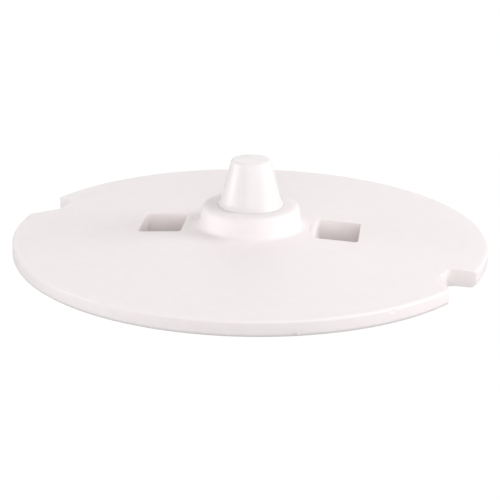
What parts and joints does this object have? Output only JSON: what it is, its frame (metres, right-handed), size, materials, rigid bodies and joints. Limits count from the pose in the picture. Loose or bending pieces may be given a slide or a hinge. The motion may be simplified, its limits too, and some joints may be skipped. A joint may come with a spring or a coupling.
{
  "type": "fire sprinkler head",
  "caption": "Flush pendent fire sprinkler head with a white ceiling plate, a central heat-sensing cone and a valve that drops open behind it.",
  "frame": {"origin": "centre of the inlet end of the threaded body, on the head's axis", "axes": "+Z along the head's axis from the inlet towards the room, +X roughly along the line of the two windows"},
  "size_m": [0.1, 0.1, 0.036],
  "materials": {
    "white_plastic": "satin moulded",
    "white_enamel": "satin",
    "brass": "machined",
    "steel": "bright",
    "copper_alloy": "bright",
    "solder": "dull cast",
    "ceramic": "matt",
    "ptfe": "waxy"
  },
  "bodies": {
    "plate": {"ceiling_plate": "white_plastic"},
    "sensor": {"heat_cone": "white_enamel", "lever_pin_right": "steel", "lever_pin_left": "steel", "lever_support": "brass", "plunger": "copper_alloy", "solder_pellet": "solder", "cylinder": "copper_alloy", "insulator_ring": "ceramic", "heat_fin": "copper_alloy", "base_disc": "copper_alloy"},
    "base": {"body": "brass", "frame": "brass", "guide_ring": "steel", "plate_clip": "steel"},
    "valve": {"seal_film": "ptfe", "disc_spring": "steel", "valve_plug": "brass", "deflector": "copper_alloy", "guide_pin_1": "steel", "guide_pin_2": "steel", "guide_pin_3": "steel"},
    "saddle": {"saddle": "steel", "load_screw": "steel"},
    "lever_right": {"lever_right": "steel"},
    "lever_left": {"lever_left": "steel"}
  },
  "joints": [
    {"name": "plate_slide", "type": "slide", "parent": "base", "child": "plate", "axis": [0, 0, 1], "range_m": [0, 0.004]},
    {"name": "thermal_release", "type": "slide", "parent": "base", "child": "sensor", "axis": [0, 0, 1], "range_m": [0, 0.016]},
    {"name": "lever_right_fold", "type": "hinge", "parent": "sensor", "child": "lever_right", "pos_m": [0.0022, 0, 0.0252], "axis": [0, 1, 0], "range_deg": [0, 70]},
    {"name": "lever_left_fold", "type": "hinge", "parent": "sensor", "child": "lever_left", "pos_m": [-0.0022, 0, 0.0252], "axis": [0, -1, 0], "range_deg": [0, 70]},
    {"name": "saddle_drop", "type": "slide", "parent": "base", "child": "saddle", "axis": [0, 0, 1], "range_m": [0, 0.0088]},
    {"name": "valve_drop", "type": "slide", "parent": "base", "child": "valve", "axis": [0, 0, 1], "range_m": [0, 0.0084]}
  ],
  "couplings": [
    {"joint": "lever_right_fold", "follows": "thermal_release", "rad_per_m": 76.358},
    {"joint": "lever_left_fold", "follows": "thermal_release", "rad_per_m": 76.358},
    {"joint": "saddle_drop", "follows": "thermal_release", "ratio": 0.55},
    {"joint": "valve_drop", "follows": "thermal_release", "ratio": 0.525}
  ]
}
